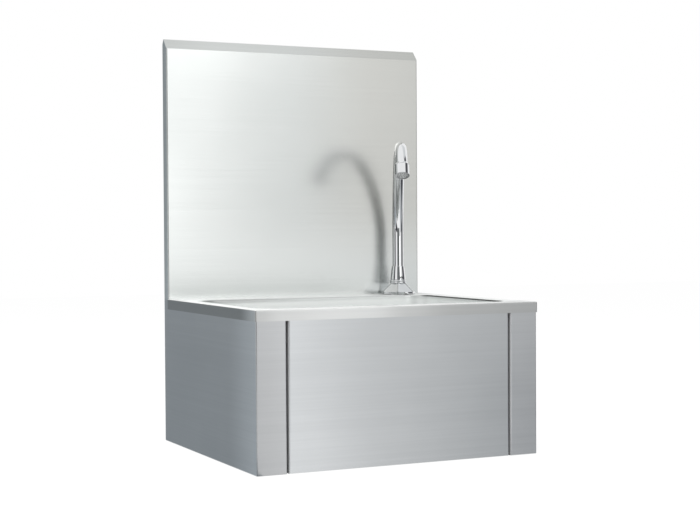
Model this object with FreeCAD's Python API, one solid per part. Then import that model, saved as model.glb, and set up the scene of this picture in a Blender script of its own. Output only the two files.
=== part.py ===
import FreeCAD, Part
import math
import os

from FreeCAD import Placement, Rotation, Vector

# A wall-hung hand wash sink worked by the knee. A pressed deck and bowl sit on a sheet-steel
# cabinet. The panel between the two front grooves hangs on a hinge rod, and pushing it in
# presses a valve that feeds the swan-neck spout. Sizes are in millimetres.
# While modelling, x runs to the right, y towards the wall at y = 0, and z up from the
# cabinet's lower edge. Each piece is then lowered so that the origin is the centre of the
# four wall screws, on the wall.

# Sheet metal
sheet = 1.0                    # deck, bowl, splash and cabinet
fold_radius = 1.6              # outside of a folded edge
lap_gap = 0.1                  # between a panel and the one that it slips behind
rail_sheet = 1.5               # wall rails and hinge rail
bracket_sheet = 2.0            # valve bracket

# Deck and bowl
rim_width = 400.0
rim_depth = 340.0              # wall to the front apron
rim_height = 200.0             # cabinet's lower edge to the deck
apron_height = 14.0
side_ledge = 23.0              # deck's side edge to the bowl
front_ledge = 27.0             # deck's front edge to the bowl
bowl_back = 72.0               # wall to the bowl's back edge
bowl_depth = 116.0             # deck to the flat floor
bowl_corner = 30.0
bowl_floor_radius = 18.0
bowl_roll = 3.0                # rolled top edge of the bowl
bowl_lip = 8.0                 # flat lip that is welded flush into the deck
dish_depth = 4.0               # fall from the flat floor to the drain
dish_margin = 4.5              # round the dish, to the bowl's curved foot

# Backsplash
splash_depth = 16.5            # wall to the front face
splash_rise = 350.5            # deck to the top of the flat face
crown_rise = 14.0              # flat face to the ridge
crown_setback = 4.0            # wall to the ridge
crown_drop = 7.0               # ridge to the back edge

# Cabinet and knee panel
groove_inset = 42.5            # deck's side edge to the middle of a groove
groove_gap = 3.0
return_depth = 14.0            # folds beside the grooves
panel_tuck = 2.0               # knee panel's top behind the apron
cabinet_headroom = 1.5         # cabinet's top edge to the deck's underside

# Wall rails
rail_height = 28.0
rail_fold = 12.0
upper_rail_drop = 16.0         # deck to the upper rail's top
lower_rail_foot = 2.0
screw_hole_radius = 4.0
screw_inset = 80.0             # deck's side edge to a wall screw

# Knee panel hinge
hinge_drop = 8.0               # deck to the rod's axis
hinge_setback = 8.9            # cabinet's front face to the rod's axis
rod_radius = 2.5
rod_overhang = 18.0            # rod beyond the outermost ears
eye_radius = 6.0
lug_inset = 46.0               # knee panel's edge to a lug
lug_thickness = 3.0
lug_drop = 34.0
lug_foot_width = 12.0
bush_wall = 1.5
bush_flange = 0.8
bush_flange_radius = 5.4
hinge_play = 0.3               # at each end of a bush
ear_thickness = 2.0
hinge_rail_inset = 6.0         # knee panel's edge to the rail's end
hinge_rail_drop = 21.0
hinge_rail_gap = 2.0           # an eye to the rail's upright
clip_thickness = 0.8
clip_radius = 5.0
clip_groove = 0.5
clip_setback = 5.0
running_fit = 0.05             # radial, between pieces that turn or slide on each other
screw_fit = 0.05               # radial, between pieces that are screwed together

# Stops and push stud on the knee panel
tab_thickness = 1.5
tab_height = 30.0
tab_foot = 20.0
tab_reach = 7.0                # beyond the groove, behind the cabinet's fold
stop_gap = 0.3
stud_head_radius = 9.0
stud_head = 1.5
stud_radius = 2.5
stud_length = 7.0
bumper_radius = 10.0
bumper_reach = 10.0            # panel's back to the bumper's tip
bumper_dome = 20.0             # radius of its rounded tip

# Push valve
valve_height = 44.0
valve_stroke = 8.0
touch_gap = 0.3                # bumper to button at rest
button_radius = 13.0
button_head = 6.0
stem_radius = 8.0
gland_gap = 0.6                # left between the head and the gland when pressed
gland_length = 7.5
gland_wall = 3.0
gland_flats = 36.0
nut_gap = 0.5
valve_nut_flats = 38.0
valve_nut_length = 5.0
neck_radius = 15.0
neck_clearance = 0.3
valve_radius = 20.0
valve_length = 42.0
chamber_radius = 12.0
chamber_floor = 6.0
piston_radius = 11.5
piston_length = 5.0
piston_gap = 0.3
seal_section = 0.7
spring_radius = 8.0
spring_wire = 1.6
spring_pitch = 5.5
spring_gap = 0.3
port_setback = 21.0            # valve's shoulder to the ports' axis
bracket_height = 48.0
bracket_fold = 15.0

# Half-inch pipework
thread_radius = 10.48          # G1/2
waterway_radius = 7.0
port_reach = 34.0              # valve's axis to a port's end
washer_gap = 0.5
coupling_flats = 27.0
coupling_length = 24.0
manifold_radius = 13.0
manifold_first = 72.0          # valve's axis to the nearer inlet
inlet_spacing = 46.0
manifold_tail = 17.0           # farther inlet to the manifold's closed end
manifold_wall = 5.0
branch_reach = 17.0
spigot_radius = 9.0
spigot_length = 6.0
nipple_flats = 27.0
nipple_hex = 12.0
nipple_thread = 15.0

# Hose from the valve to the faucet
hose_radius = 6.0
hose_bore = 4.0
ferrule_radius = 7.5
ferrule_length = 18.0
hose_nut_flats = 27.0
hose_nut_length = 16.0
hose_nut_overlap = 11.0        # of the nut over the thread
hose_bend_share = 0.45         # of the shorter run, taken by each bend

# Faucet
faucet_inset = 50.0            # deck's side edge to the faucet's axis
faucet_setback = 45.0          # wall to the faucet's axis
swing = 25.0                   # of the spout at rest, towards the bowl's middle
tap_hole_clearance = 0.5
shank_drop = 48.0              # deck to the shank's lower end
shank_entry = 10.5             # of the shank into the base
shank_bore = 6.0
seal_height = 0.5
skirt_radius = 25.0
skirt_sides = 6
skirt_trim = 1.5               # of each corner, by the round foot
skirt_edge_round = 1.6         # between two facets
skirt_edge = 3.2
skirt_height = 15.5
collar_radius = 12.4
collar_height = 5.0
bead_radius = 1.3
cone_foot_gap = 0.3
cone_foot_radius = 11.5
cone_top_radius = 9.3
cone_lip = 0.4                 # bevel round the cone's top
cone_height = 20.5
pipe_radius = 8.25
pipe_wall = 1.0
pipe_entry = 9.5               # of the pipe into the cone
spigot_stem_radius = 6.0
spigot_stem_bore = 4.0
spigot_stem_height = 13.0
grub_height = 3.4              # above the cone's foot
grub_turn = 22.0               # degrees from the spout's plane to the screw
grub_radius = 2.0
grub_tip_radius = 1.3
grub_groove = 1.0
grub_groove_width = 3.4
ring_height = 9.0              # of the seal ring above the cone's foot
ring_section = 0.45
ring_groove = 1.0
ring_groove_width = 1.3
upright = 282.0                # height where the pipe starts to bend
first_bend_radius = 190.0
first_bend = 36.0              # degrees
second_bend_radius = 46.0
second_bend = 117.0
aerator_radius = 10.25
aerator_length = 19.0
aerator_shoulder = 3.0
aerator_wall = 1.5
aerator_seam = 0.4
aerator_seat = 8.0             # mouth to the insert's back
insert_thickness = 5.0
insert_recess = 1.5
insert_hole_radius = 0.9
fixing_seal_radius = 19.0
fixing_seal_height = 3.0
fixing_washer_height = 1.5
fixing_nut_flats = 30.0
fixing_nut_height = 7.5

# Waste
drain_hole_radius = 21.5
waste_seat_radius = 35.0
grid_radius = 32.0
grid_thickness = 2.0
grid_hole_radius = 2.6
grid_inner_ring = 10.5
grid_outer_ring = 18.0
seal_thickness = 1.0
lower_seal_thickness = 2.0
waste_flange_radius = 30.0
waste_flange_height = 4.5
waste_neck_radius = 24.0
waste_neck_height = 12.0
waste_thread_radius = 20.95    # G1 1/4
waste_thread_length = 48.0
waste_bore = 17.0
cross_bar_height = 6.0
cross_bar_width = 9.0
waste_screw_radius = 3.0
waste_screw_head_radius = 5.5
waste_screw_head = 2.0

# Places that several pieces share
side = rim_width / 2                                   # outside of the side aprons
cabinet_side = side - sheet - lap_gap                  # outside of the cabinet and splash
cabinet_inside = cabinet_side - sheet
cabinet_front = -rim_depth + sheet + lap_gap           # front face of the cabinet
panel_back = cabinet_front + sheet
fold_end = cabinet_front + return_depth                # where the folds at a groove end
deck_under = rim_height - sheet
apron_foot = rim_height - apron_height
splash_front = -splash_depth
panel_side = side - groove_inset - groove_gap / 2      # knee panel's edge
strip_side = side - groove_inset + groove_gap / 2      # front strip's edge
bowl_width = rim_width - 2 * side_ledge
bowl_length = rim_depth - front_ledge - bowl_back
bowl_rear = -bowl_back
bowl_front = bowl_rear - bowl_length
bowl_middle = bowl_rear - bowl_length / 2
bowl_floor = rim_height - bowl_depth
drain_level = bowl_floor - dish_depth
dish_radius = min(bowl_length, bowl_width) / 2 - bowl_floor_radius - dish_margin
rail_middle = rail_height / 2
upper_rail_top = rim_height - upper_rail_drop
screw_spacing = rim_width - 2 * screw_inset
upper_screws = upper_rail_top - rail_middle
lower_screws = lower_rail_foot + rail_middle
origin_height = (upper_screws + lower_screws) / 2
hinge_y = cabinet_front + hinge_setback
hinge_height = rim_height - hinge_drop
hinge_rail_width = 2 * (panel_side - hinge_rail_inset)
lug_spacing = 2 * (panel_side - lug_inset)
hinge_rail_y = hinge_y + eye_radius + hinge_rail_gap
bush_radius = rod_radius + running_fit + bush_wall
bush_length = lug_thickness + bush_flange
ear_inner = lug_spacing / 2 - lug_thickness / 2 - hinge_play
ear_outer = lug_spacing / 2 + lug_thickness / 2 + bush_flange + hinge_play
rod_end = ear_outer + ear_thickness + rod_overhang
button_front = panel_back + bumper_reach + touch_gap
head_back = button_front + button_head
gland_front = head_back + valve_stroke + gland_gap
gland_back = gland_front + gland_length
neck_front = gland_front + gland_wall
bracket_front = gland_back + nut_gap + valve_nut_length
valve_shoulder = bracket_front + bracket_sheet
valve_end = valve_shoulder + valve_length
port_y = valve_shoulder + port_setback
piston_front = neck_front + piston_gap
piston_back = piston_front + piston_length
manifold_start = port_reach + washer_gap
manifold_far = manifold_first + inlet_spacing
nipple_foot = port_y + branch_reach
faucet_x = side - faucet_inset
faucet_y = -faucet_setback
shank_foot = rim_height - shank_drop
base_foot = rim_height + seal_height
collar_foot = base_foot + skirt_height
cone_foot = collar_foot + collar_height + cone_foot_gap
spout_heading = -90.0 - swing                          # from +x, anticlockwise from above
waste_top = drain_level - sheet - lower_seal_thickness  # top of the waste body's flange
waste_neck_foot = waste_top - waste_flange_height - waste_neck_height

x_axis = Vector(1, 0, 0)
y_axis = Vector(0, 1, 0)
z_axis = Vector(0, 0, 1)
grub_way = Vector(math.cos(math.radians(grub_turn)), math.sin(math.radians(grub_turn)), 0)
tiny = 1e-4
through = 1.0                  # how far a cut runs past a face


def near(a, b):
    return abs(a - b) < tiny


def block(x0, x1, y0, y1, z0, z1):
    return Part.makeBox(x1 - x0, y1 - y0, z1 - z0, Vector(x0, y0, z0))


def rounded(shape, radius, test):
    """Rounds the edges whose middle passes the test."""
    return shape.makeFillet(radius, [e for e in shape.Edges if test(e.CenterOfMass)])


def placed(shape, base, direction):
    shape.Placement = Placement(base, Rotation(z_axis, direction)).multiply(shape.Placement)
    return shape


def turned(profile, base, direction=z_axis):
    """Turns a profile of (radius, distance along the axis) points about the axis."""
    points = [Vector(r, 0, t) for r, t in profile]
    face = Part.Face(Part.makePolygon(points + points[:1]))
    return placed(face.revolve(Vector(0, 0, 0), z_axis, 360), base, direction)


def tube(outer, inner, start, end, base, direction=z_axis):
    profile = [(inner, start), (outer, start), (outer, end), (inner, end)]
    return turned(profile, base, direction)


def rod(radius, start, end, base, direction=z_axis):
    return tube(radius, 0, start, end, base, direction)


def prism(sides, corner_radius, start, end):
    corners = [Vector(corner_radius * math.cos(2 * math.pi * i / sides),
                      corner_radius * math.sin(2 * math.pi * i / sides), start)
               for i in range(sides)]
    face = Part.Face(Part.makePolygon(corners + corners[:1]))
    return face.extrude(Vector(0, 0, end - start))


def hex_nut(flats, hole, start, end, base, direction=z_axis):
    """A hexagon with 30-degree turned chamfers at both ends and a round hole."""
    corner = flats / math.sqrt(3)
    chamfer = (corner - flats / 2) / math.sqrt(3)
    blank = turned([(hole, start), (flats / 2, start), (corner, start + chamfer),
                    (corner, end - chamfer), (flats / 2, end), (hole, end)],
                   Vector(0, 0, 0))
    return placed(prism(6, corner, start, end).common(blank), base, direction)


def ring(radius, section, height, base, direction=z_axis):
    return placed(Part.makeTorus(radius, section, Vector(0, 0, height)), base, direction)


def joined(first, *others):
    return first.fuse(list(others)).removeSplitter()


def group(shapes):
    return Part.makeCompound(shapes)


def both_sides(shape):
    """The shape and its mirror image across x = 0."""
    return group([shape, shape.mirror(Vector(0, 0, 0), x_axis)])


def flat_plate(outline, x_middle, thickness):
    """A plate across x whose outline is a list of (y, z) points."""
    points = [Vector(x_middle - thickness / 2, y, z) for y, z in outline]
    face = Part.Face(Part.makePolygon(points + points[:1]))
    return face.extrude(Vector(thickness, 0, 0))


def outline_rounded(shape, radius, grow, height):
    """Rounds the outline at that height which lies so far outside the bowl's opening."""
    half = bowl_width / 2 + grow
    reach = math.hypot(half, bowl_length / 2 + grow)

    def on_outline(edge):
        level = near(edge.CenterOfMass.z, height)
        ends = [v.Point - Vector(0, bowl_middle, height) for v in edge.Vertexes]
        return level and all(near(abs(p.x), half) or near(abs(p.y), bowl_length / 2 + grow)
                             for p in ends) and all(p.Length < reach for p in ends)

    return shape.makeFillet(radius, [e for e in shape.Edges if on_outline(e)])


def tray(grow, depth_corner, floor_radius, bottom, top):
    """The bowl's rounded box, grown outwards all round."""
    half = bowl_width / 2 + grow
    shape = block(-half, half, bowl_front - grow, bowl_rear + grow, bottom, top)
    middle = (bottom + top) / 2
    shape = rounded(shape, depth_corner + grow, lambda c: near(c.z, middle))
    if floor_radius:
        shape = rounded(shape, floor_radius + grow, lambda c: near(c.z, bottom))
    return shape


def dish(lowered):
    """The shallow cone that falls to the drain."""
    top = bowl_floor - lowered
    low = drain_level - lowered
    profile = [(0, low), (waste_seat_radius, low), (dish_radius, top), (0, top)]
    return turned(profile, Vector(0, bowl_middle, 0))


def make_deck():
    outer = block(-side, side, -rim_depth, splash_front, apron_foot, rim_height)

    def is_fold(c, half, front, top):
        ends = near(abs(c.x), half)
        return (near(c.z, top) and (ends or near(c.y, front))) or (ends and near(c.y, front))

    outer = rounded(outer, fold_radius, lambda c: is_fold(c, side, -rim_depth, rim_height))
    half = side - sheet
    front = -rim_depth + sheet
    inner = block(-half, half, front, splash_front + through, apron_foot - through, deck_under)
    inner = rounded(inner, fold_radius - sheet, lambda c: is_fold(c, half, front, deck_under))
    back_half = cabinet_inside - lap_gap
    back = block(-back_half, back_half, splash_front - sheet, splash_front, apron_foot, deck_under)
    shape = joined(outer.cut(inner), back)
    opening = tray(bowl_lip, bowl_corner, 0, deck_under - through, rim_height + through)
    tap_hole = rod(thread_radius + tap_hole_clearance, deck_under - through,
                   rim_height + through, Vector(faucet_x, faucet_y, 0))
    return shape.cut(opening).cut(tap_hole)


def make_bowl():
    walls = tray(sheet, bowl_corner, bowl_floor_radius, bowl_floor - sheet, deck_under)
    lip = tray(bowl_lip, bowl_corner, 0, deck_under, rim_height)
    shape = outline_rounded(joined(walls, lip), bowl_roll - sheet, sheet, deck_under)
    shape = joined(shape, dish(sheet))
    hollow = tray(0, bowl_corner, bowl_floor_radius, bowl_floor, rim_height + bowl_roll)
    shape = outline_rounded(shape.cut(hollow).cut(dish(0)), bowl_roll, 0, rim_height)
    drain = rod(drain_hole_radius, drain_level - 2 * sheet, bowl_floor, Vector(0, bowl_middle, 0))
    return shape.cut(drain)


def make_backsplash():
    face_top = rim_height + splash_rise
    ridge = face_top + crown_rise
    outline = [Vector(-cabinet_side, y, z) for y, z in (
        (splash_front, deck_under), (splash_front, face_top), (-crown_setback, ridge),
        (0, ridge - crown_drop), (0, deck_under))]
    profile = Part.Face(Part.makePolygon(outline + outline[:1]))
    shape = profile.extrude(Vector(2 * cabinet_side, 0, 0))
    shape = rounded(shape, fold_radius, lambda c: near(c.y, splash_front) and near(abs(c.x), cabinet_side))
    hollow = profile.makeOffset2D(-sheet).extrude(Vector(2 * cabinet_inside, 0, 0))
    hollow.translate(Vector(sheet, 0, 0))
    back = block(-cabinet_inside, cabinet_inside, -2 * sheet, through,
                 deck_under - through, ridge - crown_drop - sheet)
    foot = block(-cabinet_inside, cabinet_inside, splash_front + sheet, through,
                 deck_under - through, deck_under + 2 * sheet)
    tongue_half = cabinet_inside - lap_gap
    tongue = block(-tongue_half, tongue_half, splash_front, splash_front + sheet,
                   apron_foot, deck_under)
    return joined(shape.cut([hollow, back, foot]), tongue)


def make_side_panel(hand):
    """One cabinet side with its front strip and its fold at the groove."""
    top = deck_under - cabinet_headroom
    shape = block(strip_side, cabinet_side, cabinet_front, 0, 0, top)
    shape = rounded(shape, fold_radius,
                    lambda c: near(c.y, cabinet_front) and near(c.z, top / 2))
    hollow = block(strip_side + sheet, cabinet_inside, panel_back, through, -through, top + through)
    hollow = rounded(hollow, fold_radius - sheet,
                     lambda c: near(c.y, panel_back) and near(c.z, top / 2))
    behind = block(strip_side - through, strip_side + 2 * sheet, fold_end, through,
                   -through, top + through)
    rear = block(cabinet_inside, cabinet_side, splash_front, 0, top - through, deck_under)
    shape = joined(shape.cut(hollow).cut(behind), rear)
    return shape if hand > 0 else shape.mirror(Vector(0, 0, 0), x_axis)


def make_wall_rail(foot, fold_up):
    """A rail across the cabinet's back, with end tabs, one stiffening fold and two screw holes."""
    top = foot + rail_height
    shape = block(-cabinet_inside, cabinet_inside, -rail_sheet, 0, foot, top)
    fold_foot = top - rail_sheet if fold_up else foot
    fold = block(-cabinet_inside, cabinet_inside, -rail_fold, 0, fold_foot, fold_foot + rail_sheet)
    tab = block(cabinet_inside - rail_sheet, cabinet_inside, -rail_fold, 0, foot, top)
    shape = joined(shape, fold, tab, tab.mirror(Vector(0, 0, 0), x_axis))
    for x in (-screw_spacing / 2, screw_spacing / 2):
        hole = rod(screw_hole_radius, -through, rail_sheet + through,
                   Vector(x, 0, foot + rail_middle), -y_axis)
        shape = shape.cut(hole)
    return shape


def make_hinge_rail():
    half = hinge_rail_width / 2
    foot = deck_under - hinge_rail_drop
    upright = block(-half, half, hinge_rail_y, hinge_rail_y + rail_sheet, foot, deck_under)
    fold_end_y = bowl_front - sheet - hinge_rail_gap
    fold = block(-half, half, hinge_rail_y, fold_end_y, foot, foot + rail_sheet)
    ears = []
    for hand in (-1, 1):
        for near_face in (ear_inner - ear_thickness, ear_outer):
            x = hand * (near_face + ear_thickness / 2)
            eye = rod(eye_radius, -ear_thickness / 2, ear_thickness / 2,
                      Vector(x, hinge_y, hinge_height), x_axis)
            arm = block(x - ear_thickness / 2, x + ear_thickness / 2, hinge_y, hinge_rail_y,
                        hinge_height - eye_radius, hinge_height + eye_radius)
            ears.append(eye.fuse(arm))
    shape = joined(upright, fold, *ears)
    bore = rod(rod_radius + running_fit, -half, half, Vector(0, hinge_y, hinge_height), x_axis)
    return shape.cut(bore)


def make_hinge_rod():
    centre = Vector(0, hinge_y, hinge_height)
    shape = rod(rod_radius, -rod_end, rod_end, centre, x_axis)
    start = rod_end - clip_setback - clip_thickness
    groove = tube(rod_radius + through, rod_radius - clip_groove, start,
                  start + clip_thickness, centre, x_axis)
    return shape.cut(groove).cut(groove.mirror(Vector(0, 0, 0), x_axis))


def make_rod_clips():
    start = rod_end - clip_setback - clip_thickness
    clip = tube(clip_radius, rod_radius - clip_groove, start, start + clip_thickness,
                Vector(0, hinge_y, hinge_height), x_axis)
    return both_sides(clip)


def make_knee_panel():
    top = apron_foot + panel_tuck
    shape = block(-panel_side, panel_side, cabinet_front, fold_end, 0, top)

    def outer_fold(c, half, front, foot):
        return near(c.y, front) and (near(abs(c.x), half) or near(c.z, foot))

    shape = rounded(shape, fold_radius, lambda c: outer_fold(c, panel_side, cabinet_front, 0))
    half = panel_side - sheet
    hollow = block(-half, half, panel_back, fold_end + through, sheet, top + through)
    hollow = rounded(hollow, fold_radius - sheet, lambda c: outer_fold(c, half, panel_back, sheet))
    return shape.cut(hollow)


def make_panel_lugs():
    x = lug_spacing / 2
    foot = hinge_height - lug_drop
    outline = [(panel_back, foot), (panel_back, apron_foot + panel_tuck - sheet),
               (hinge_y - eye_radius, hinge_height), (hinge_y + eye_radius, hinge_height)]
    eye = rod(eye_radius, -lug_thickness / 2, lug_thickness / 2,
              Vector(x, hinge_y, hinge_height), x_axis)
    flange = block(x - lug_thickness / 2 - lug_foot_width, x, panel_back,
                   panel_back + rail_sheet, foot, apron_foot + panel_tuck - sheet)
    shape = joined(flat_plate(outline, x, lug_thickness), eye, flange)
    bore = rod(bush_radius, -lug_thickness, lug_thickness,
               Vector(x, hinge_y, hinge_height), x_axis)
    return both_sides(shape.cut(bore))


def make_hinge_bushes():
    inner = rod_radius + running_fit
    start = lug_spacing / 2 - lug_thickness / 2
    seat = start + lug_thickness
    profile = [(inner, start), (bush_radius, start), (bush_radius, seat),
               (bush_flange_radius, seat), (bush_flange_radius, start + bush_length),
               (inner, start + bush_length)]
    return both_sides(turned(profile, Vector(0, hinge_y, hinge_height), x_axis))


def make_stop_tabs():
    inner = panel_side - sheet - tab_thickness
    front = fold_end + stop_gap
    plate = block(inner, inner + tab_thickness, panel_back + fold_radius, front + tab_thickness,
                  tab_foot, tab_foot + tab_height)
    leg = block(inner, strip_side + tab_reach, front, front + tab_thickness,
                tab_foot, tab_foot + tab_height)
    return both_sides(joined(plate, leg))


def make_push_stud():
    head = rod(stud_head_radius, 0, stud_head, Vector(0, panel_back, valve_height), y_axis)
    shank = rod(stud_radius, 0, stud_length, Vector(0, panel_back, valve_height), y_axis)
    return joined(head, shank)


def make_push_bumper():
    """A rubber cap on the stud, domed so that it rolls on the button as the panel tilts."""
    profile = [(stud_radius, stud_head), (bumper_radius, stud_head),
               (bumper_radius, bumper_reach), (0, bumper_reach), (0, stud_length),
               (stud_radius, stud_length)]
    ball = Part.makeSphere(bumper_dome, Vector(0, 0, bumper_reach - bumper_dome))
    shape = turned(profile, Vector(0, 0, 0)).common(ball)
    return placed(shape, Vector(0, panel_back, valve_height), y_axis)


def make_valve_bracket():
    foot = valve_height - bracket_height / 2
    top = valve_height + bracket_height / 2
    web = block(-cabinet_inside, cabinet_inside, bracket_front, valve_shoulder, foot, top)
    tab = block(cabinet_inside - bracket_sheet, cabinet_inside, bracket_front,
                bracket_front + bracket_fold, foot, top)
    shape = joined(web, tab, tab.mirror(Vector(0, 0, 0), x_axis))
    hole = rod(neck_radius + neck_clearance, bracket_front - through, valve_shoulder + through,
               Vector(0, 0, valve_height), y_axis)
    return shape.cut(hole)


def make_valve_body():
    axis_point = Vector(0, 0, valve_height)
    inside_end = valve_end - chamber_floor
    profile = [(chamber_radius, neck_front), (neck_radius, neck_front),
               (neck_radius, valve_shoulder), (valve_radius, valve_shoulder),
               (valve_radius, valve_end), (0, valve_end), (0, inside_end),
               (chamber_radius, inside_end)]
    shape = turned(profile, axis_point, y_axis)
    port_centre = Vector(0, port_y, valve_height)
    chamber = rod(chamber_radius, neck_front, inside_end, axis_point, y_axis)
    ports = rod(thread_radius, -port_reach, port_reach, port_centre, x_axis)
    waterway = rod(waterway_radius, -port_reach - through, port_reach + through,
                   port_centre, x_axis)
    return joined(shape, ports).cut(chamber).cut(waterway)


def make_valve_gland():
    axis_point = Vector(0, 0, valve_height)
    shape = hex_nut(gland_flats, stem_radius + running_fit, gland_front, gland_back,
                    axis_point, y_axis)
    socket = rod(neck_radius + screw_fit, neck_front, gland_back + through, axis_point, y_axis)
    return shape.cut(socket)


def make_valve_nut():
    return hex_nut(valve_nut_flats, neck_radius + screw_fit, gland_back + nut_gap,
                   bracket_front, Vector(0, 0, valve_height), y_axis)


def make_push_button():
    chamfer = button_head / 4
    groove_middle = (piston_front + piston_back) / 2
    groove_floor = chamber_radius - running_fit - 2 * seal_section
    profile = [(0, button_front), (button_radius - chamfer, button_front),
               (button_radius, button_front + chamfer), (button_radius, head_back),
               (stem_radius, head_back), (stem_radius, piston_front),
               (piston_radius, piston_front), (piston_radius, groove_middle - seal_section),
               (groove_floor, groove_middle - seal_section),
               (groove_floor, groove_middle + seal_section),
               (piston_radius, groove_middle + seal_section),
               (piston_radius, piston_back), (0, piston_back)]
    return turned(profile, Vector(0, 0, valve_height), y_axis)


def make_plunger_seal():
    return ring(chamber_radius - running_fit - seal_section, seal_section,
                (piston_front + piston_back) / 2, Vector(0, 0, valve_height), y_axis)


def arc_between(start, corner, end):
    """The arc that is tangent to start-corner at start and to corner-end at end."""
    middle = (start + end) * 0.5
    chord = (end - start).Length
    rise = (corner - middle).Length
    angle = math.atan2(rise, chord / 2)
    top = middle + (corner - middle) * (math.tan(angle / 2) / math.tan(angle))
    return Part.Arc(start, top, end).toShape()


def coil_wire(radius, pitch, turns):
    """A helix about z in quarter-turn pairs of tangent arcs."""
    def point(angle):
        return Vector(radius * math.cos(angle), radius * math.sin(angle),
                      pitch * angle / (2 * math.pi))

    def heading(angle):
        way = Vector(-radius * math.sin(angle), radius * math.cos(angle), pitch / (2 * math.pi))
        return way.normalize()

    edges = []
    step = math.pi / 2
    for i in range(int(turns * 4)):
        p0, p1 = point(i * step), point((i + 1) * step)
        t0, t1 = heading(i * step), heading((i + 1) * step)
        chord = p1 - p0
        along = chord.dot(t0 + t1)
        bend = 2 * (1 - t0.dot(t1))
        reach = (math.sqrt(along * along + bend * chord.dot(chord)) - along) / bend
        joint = (p0 + p1) * 0.5 + (t0 - t1) * (reach / 2)
        edges.append(arc_between(p0, p0 + t0 * reach, joint))
        edges.append(arc_between(joint, p1 - t1 * reach, p1))
    return Part.Wire(edges)


def make_plunger_spring():
    start = piston_back + spring_gap + spring_wire / 2
    end = valve_end - chamber_floor - spring_gap - spring_wire / 2
    turns = math.floor((end - start) / spring_pitch * 4) / 4
    pitch = (end - start) / turns
    path = coil_wire(spring_radius, pitch, turns)
    section = Part.Wire(Part.makeCircle(spring_wire / 2, Vector(spring_radius, 0, 0),
                                        Vector(0, 1, pitch / (2 * math.pi * spring_radius))))
    coil = path.makePipeShell([section], True, False)
    print("spring: %.2f turns, %.2f mm between the turns" % (turns, pitch - spring_wire))
    return placed(coil, Vector(0, start, valve_height), y_axis)


def make_inlet_manifold():
    """Joins the two supplies into one, and screws to the valve's inlet port."""
    centre = Vector(0, port_y, valve_height)
    barrel_start = manifold_start + coupling_length / 2
    barrel_end = manifold_far + manifold_tail
    shape = joined(rod(thread_radius, manifold_start, barrel_start, centre, -x_axis),
                   rod(manifold_radius, barrel_start, barrel_end, centre, -x_axis))
    for x in (-manifold_first, -manifold_far):
        branch = rod(manifold_radius, 0, branch_reach, Vector(x, port_y, valve_height), y_axis)
        shape = joined(shape, branch)
    bore = rod(waterway_radius, manifold_start - through, barrel_end - manifold_wall,
               centre, -x_axis)
    shape = shape.cut(bore)
    for x in (-manifold_first, -manifold_far):
        mouth = Vector(x, port_y, valve_height)
        shape = shape.cut(rod(waterway_radius, 0, branch_reach + through, mouth, y_axis))
        socket = rod(spigot_radius + screw_fit, branch_reach - spigot_length - screw_fit,
                     branch_reach + through, mouth, y_axis)
        shape = shape.cut(socket)
    return shape


def make_coupling_nut():
    middle = port_reach + washer_gap / 2
    return hex_nut(coupling_flats, thread_radius + screw_fit, middle - coupling_length / 2,
                   middle + coupling_length / 2, Vector(0, port_y, valve_height), -x_axis)


def make_inlet_nipple(x):
    base = Vector(x, nipple_foot, valve_height)
    bore = waterway_radius
    spigot = tube(spigot_radius, bore, -spigot_length, 0, base, y_axis)
    grip = hex_nut(nipple_flats, bore, 0, nipple_hex, base, y_axis)
    thread = tube(thread_radius, bore, nipple_hex, nipple_hex + nipple_thread, base, y_axis)
    return joined(spigot, grip, thread)


def make_bent_tube(points, radius, bore):
    """Straight runs joined by tangent arcs, as large as the runs beside them allow."""
    edges = []
    start = points[0]
    radii = []
    for before, corner, after in zip(points, points[1:], points[2:]):
        into = (corner - before).normalize()
        out = (after - corner).normalize()
        reach = hose_bend_share * min((corner - before).Length, (after - corner).Length)
        arc_start = corner - into * reach
        arc_end = corner + out * reach
        edges.append(Part.makeLine(start, arc_start))
        edges.append(arc_between(arc_start, corner, arc_end))
        radii.append(reach / math.tan(into.getAngle(out) / 2))
        start = arc_end
    edges.append(Part.makeLine(start, points[-1]))
    path = Part.Wire(edges)
    direction = points[1] - points[0]
    outer, inner = [path.makePipe(Part.Face(Part.Wire(Part.makeCircle(r, points[0], direction))))
                    for r in (radius, bore)]
    section = math.pi * (radius ** 2 - bore ** 2)
    shape = outer.cut(inner)
    print("hose: bend radii", ["%.0f" % r for r in radii], "length %.0f" % path.Length,
          "volume over section times length %.4f" % (shape.Volume / section / path.Length))
    return shape


def hose_ends():
    """The valve end and the faucet end of the bare hose, and the ferrule's reach there."""
    valve_x = port_reach + hose_nut_length - hose_nut_overlap + ferrule_length
    faucet_z = shank_foot - hose_nut_length + hose_nut_overlap - ferrule_length
    return Vector(valve_x, port_y, valve_height), Vector(faucet_x, faucet_y, faucet_z)


def make_faucet_hose():
    first, last = hose_ends()
    across = last.x - first.x
    back = last.y - first.y
    up = last.z - first.z
    points = [first,
              Vector(first.x + 0.47 * across, port_y, valve_height),
              Vector(first.x + 0.92 * across, port_y + 0.16 * back, valve_height - 1),
              Vector(last.x + 3, port_y + 0.42 * back, valve_height - 2),
              Vector(last.x + 4, port_y + 0.68 * back, valve_height + 2),
              Vector(last.x + 1, port_y + 0.92 * back, valve_height + 0.26 * up),
              Vector(last.x, last.y, valve_height + 0.59 * up),
              last]
    return make_bent_tube(points, hose_radius, hose_bore)


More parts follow.
